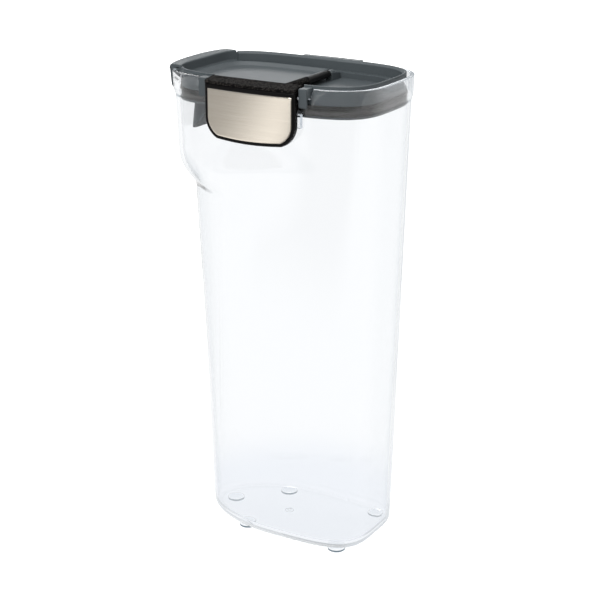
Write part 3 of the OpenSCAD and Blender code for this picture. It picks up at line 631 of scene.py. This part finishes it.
# The grip is moulded in small round-topped cells; the barrel has a fine satin grain.
pebble, tree = start_material("pebbled_grip")
place = add(tree, "TexCoord")
cells = add(tree, "TexVoronoi", {"Vector": place.outputs["Object"], "Scale": 1 / 0.0011})
tops = add(tree, "MapRange", {0: cells.outputs["Distance"], 1: 0.15, 2: 0.6, 3: 1.0, 4: 0.0})
# The cell tops are coloured lighter and the gaps between them near black: painted light and shade
# on the relief.
tone = add(tree, "Mix", {0: tops.outputs[0], 6: linear("#050505"), 7: linear("#34312f")},
           data_type="RGBA")
relief = add(tree, "Bump", {"Height": tops.outputs[0], "Strength": 0.7, "Distance": 0.00025})
plug(tree, tree.nodes["Principled BSDF"], {
    "Base Color": tone.outputs[2], "Normal": relief.outputs[0], "Roughness": 0.7,
    "Specular IOR Level": 0.15, "IOR": 1.22})
black = grain("satin_black_abs", "#080707", "#0b0a0a", 0.36, 0.3, 0.008, 0.1)

# Drawing leaves the pins with faint lines.
steel, tree = start_material("drawn_steel")
place = add(tree, "TexCoord")
along = add(tree, "Mapping", {"Vector": place.outputs["Object"], "Scale": (400, 400, 4000)})
lines = add(tree, "TexNoise", {"Vector": along.outputs[0], "Scale": 1.0, "Detail": 2.0})
tone = add(tree, "Mix", {0: lines.outputs["Fac"], 6: linear("#a9a9ab"), 7: linear("#c4c4c6")},
           data_type="RGBA")
plug(tree, tree.nodes["Principled BSDF"], {
    "Base Color": tone.outputs[2], "Metallic": 1.0, "Roughness": 0.28})

barrel = [(-37.6, 1.05), (-37.8, 1.3), (-37.8, 2.2), (-37.5, 2.5), (25.9, 2.5), (26.3, 2.3),
          (26.5, 2.0), (26.5, 1.3), (26.3, 1.05)]
sleeve = [(-37.5, 2.52), (-37.7, 2.55), (-37.8, 2.65), (-37.6, 2.75), (-37.3, 2.8), (-1.4, 2.8),
          (-1.1, 2.7), (-1.0, 2.6), (-1.1, 2.52)]
flap_wire = [(-39.3, 0), (-39.3, 0.7), (-39.1, 0.95), (-38.9, 1), (30.8, 1), (31, 0.9), (31.1, 0.7),
             (31.1, 0)]
latch_wire = [(-37.5, 0), (-37.5, 1), (-37.3, 1.2), (-37, 1.25), (37, 1.25), (37.3, 1.2), (37.5, 1),
              (37.5, 0)]
hinge_wire = [(-21.5, 0), (-21.5, 1), (-21.3, 1.2), (-21, 1.25), (21, 1.25), (21.3, 1.2), (21.5, 1),
              (21.5, 0)]
turned("black_barrel", barrel, "y", flap_at, "flap", "flap_barrel", "black", black)
turned("grip_sleeve", sleeve, "y", flap_at, "flap", "barrel_sleeve", "grip", pebble)
turned("flap_wire", flap_wire, "y", flap_at, "lid", "flap_pin", "steel_pin", steel)
turned("latch_wire", latch_wire, "x", latch_at, "lid", "latch_pin", "steel_pin", steel)
turned("hinge_wire", hinge_wire, "x", hinge_at, "lid", "lid_hinge_pin", "steel_pin", steel)


# The latch: a bowed black frame that hangs from its pin and hooks under a ridge on the body.
def bow_y(x):
    """Front of the latch: a cylinder of radius 250 mm about (0, 193.9)."""
    return 193.9 - np.sqrt(250.0 ** 2 - x ** 2)


def latch_ring(inset, top, y=None, deep=0.0):
    """The latch's face moved in by inset: upright sides 32.5 mm from the middle, corners of radius
    15 and a lower edge of radius 227.5. Its y is given, or lies deep mm behind the bowed front."""
    r, low = 15 - inset, 277.5 + inset
    b = np.radians(np.linspace(0, 90, 17))
    fall = np.linspace(top, low + r, 10)
    side = 17.5 + r
    x = np.concatenate([
        np.full(9, side), 17.5 + r * np.cos(b), np.linspace(17.5, -17.5, 15)[1:-1],
        -17.5 - r * np.cos(b[::-1]), np.full(9, -side), np.linspace(-side, side, 25)[1:-1]])
    z = np.concatenate([
        fall[:-1], low + r - r * np.sin(b), np.full(13, low),
        low + r - r * np.sin(b[::-1]), fall[-2::-1], np.full(23, top)])
    z = np.maximum(z, low + 227.5 - np.sqrt(227.5 ** 2 - x ** 2))
    return np.stack([x, bow_y(x) + deep if y is None else np.full_like(x, y), z], -1)


def middle_of(row, share, deep):
    """The ring drawn in towards (0, 295) by share and laid deep mm behind the bow."""
    x, z = row[:, 0] * share, 295 + (row[:, 2] - 295) * share
    return np.stack([x, bow_y(x) + deep, z], -1)


# The rows start in the middle of the hollow behind, turn over the back edge to the rounded front
# and end in the middle of the bed that the plate lies in.
hollow, bed = latch_ring(3.2, 309.5, deep=2.6), latch_ring(2.1, 309.9, deep=0.9)
rows = [middle_of(hollow, share, 2.6) for share in (0, 0.3, 0.6, 0.85)]
rows += [hollow, latch_ring(3.1, 309.6, deep=2.5)]
rows += [latch_ring(inset, top, y) for inset, top, y in (
    (3.1, 309.6, -50.1), (3.0, 309.7, -49.9), (0.5, 312.3, -49.9), (0.15, 312.65, -50.05),
    (0, 312.8, -50.4))]
rows += [latch_ring(inset, top, deep=deep) for inset, top, deep in (
    (0, 312.8, 1.5), (0.08, 312.72, 0.9), (0.3, 312.5, 0.42), (0.62, 312.2, 0.12), (1.0, 311.9, 0),
    (1.55, 310.5, 0), (1.85, 310.2, 0.08), (2.04, 309.98, 0.26), (2.1, 309.9, 0.45))]
rows += [bed, *[middle_of(bed, share, 0.9) for share in (0.75, 0.5, 0.25, 0)]]
skin("latch_face", np.stack(rows), False, "latch", "latch_frame", "black", black, edge=0)
knuckle = [(-50.7, 310.4), *round_bar(*latch_at, 2.6, 207.5, 427.4, 30), (-48.3, 314),
           (-50.3, 312.8), (-50.7, 312.8)]
hook = [(-53.4, 284), (-49.9, 284), (-49.4, 285), (-49.4, 289.7), (-53.4, 289.7)]
bar("latch_knuckle", knuckle, -32.5, 32.5, "x", "latch", "latch_frame", "black", black, edge=0.15)
bar("latch_hook", hook, -24.5, 24.5, "x", "latch", "latch_frame", "black", black, edge=0.1)

# The latch's top strip is textured so that a finger finds it; it rolls back over the pin.
x = np.linspace(-32.1, 32.1, 65)
front = bow_y(x)
slope = 314.4 + (front + 57.1) / 7.2 * 0.9
strip = [(front + 0.35, 312.8), (front + 0.1, 312.9), (front, 313.15), (front, slope - 0.5),
         (front + 0.15, slope - 0.15), (front + 0.5, slope + 0.06),
         (-49.9, 315.3), (-47.5, 315.75), (-45.6, 316.05), (-44.3, 316.1), (-43.4, 316.0),
         (-42.95, 315.75), (-42.7, 315.5), (-42.6, 315.1), (-42.6, 314.3), (-42.8, 314.05),
         (-43.1, 314.0), (-48.3, 314), (-50.3, 312.8)]
sections = np.stack([np.stack([x, y + 0 * x, z + 0 * x], -1) for y, z in strip], 1)
left, right = [np.broadcast_to(sections[end].mean(0), sections[end].shape) for end in (0, -1)]
sections = np.stack([left, *sections, right])
skin("latch_grip", sections, False, "latch", "latch_pad", "grip", pebble, edge=0)

# The steel plate: 0.6 mm stainless pressed to the latch's bow, brushed along its length.
brushed, tree = start_material("brushed_stainless")
place = add(tree, "TexCoord")
drawn = add(tree, "Mapping", {"Vector": place.outputs["Object"], "Scale": (40, 40, 9000)})
hair = add(tree, "TexNoise", {
    "Vector": drawn.outputs[0], "Scale": 1.0, "Detail": 4.0, "Roughness": 0.6})
coarse = add(tree, "Mapping", {"Vector": place.outputs["Object"], "Scale": (15, 15, 1500)})
streak = add(tree, "TexNoise", {"Vector": coarse.outputs[0], "Scale": 1.0, "Detail": 2.0})
both = add(tree, "Math", {0: hair.outputs["Fac"], 1: streak.outputs["Fac"]}, operation="MULTIPLY")
tone = add(tree, "Mix", {0: both.outputs[0], 6: linear("#e6dccd"), 7: linear("#fff8ec")},
           data_type="RGBA")
bump = add(tree, "Bump", {"Height": hair.outputs["Fac"], "Strength": 0.2, "Distance": 0.00004})
plug(tree, tree.nodes["Principled BSDF"], {
    "Base Color": tone.outputs[2], "Normal": bump.outputs[0], "Metallic": 1.0, "Roughness": 0.17})

back, front = latch_ring(2.16, 309.84, deep=0.88), latch_ring(2.8, 309.2, deep=0.3)
rows = [middle_of(back, 0, 0.88), back, latch_ring(2.16, 309.84, deep=0.55),
        latch_ring(2.23, 309.77, deep=0.4), latch_ring(2.4, 309.6, deep=0.32), front]
rows += [middle_of(front, share, 0.3) for share in np.linspace(0.94, 0, 16)]
skin("steel_plate", np.stack(rows), False, "latch", "latch_plate", "plate", brushed, edge=0)

# The clear body's own fittings: the ridge that the latch hooks, and behind it the hinge knuckle
# on a stiffening gusset.
on_body = ("container", "body", "clear", clear)
ridge = [(-46.4, 290.5), (-49.0, 290.5), (-49.3, 290.8), (-49.3, 298.7), (-49.0, 299), (-46.4, 299)]
gusset = [(46.8, 299.9), (53.9, 309.1), (49.1, 309.1), (46.8, 307.5)]
bar("catch_ridge", ridge, -33.8, 33.8, "x", *on_body, edge=0)
bar("clear_knuckle", round_bar(*hinge_at, 3, 0, 345), -7.5, 7.5, "x", *on_body, edge=0.2)
bar("clear_gusset", gusset, -7.3, 7.3, "x", *on_body, edge=0)
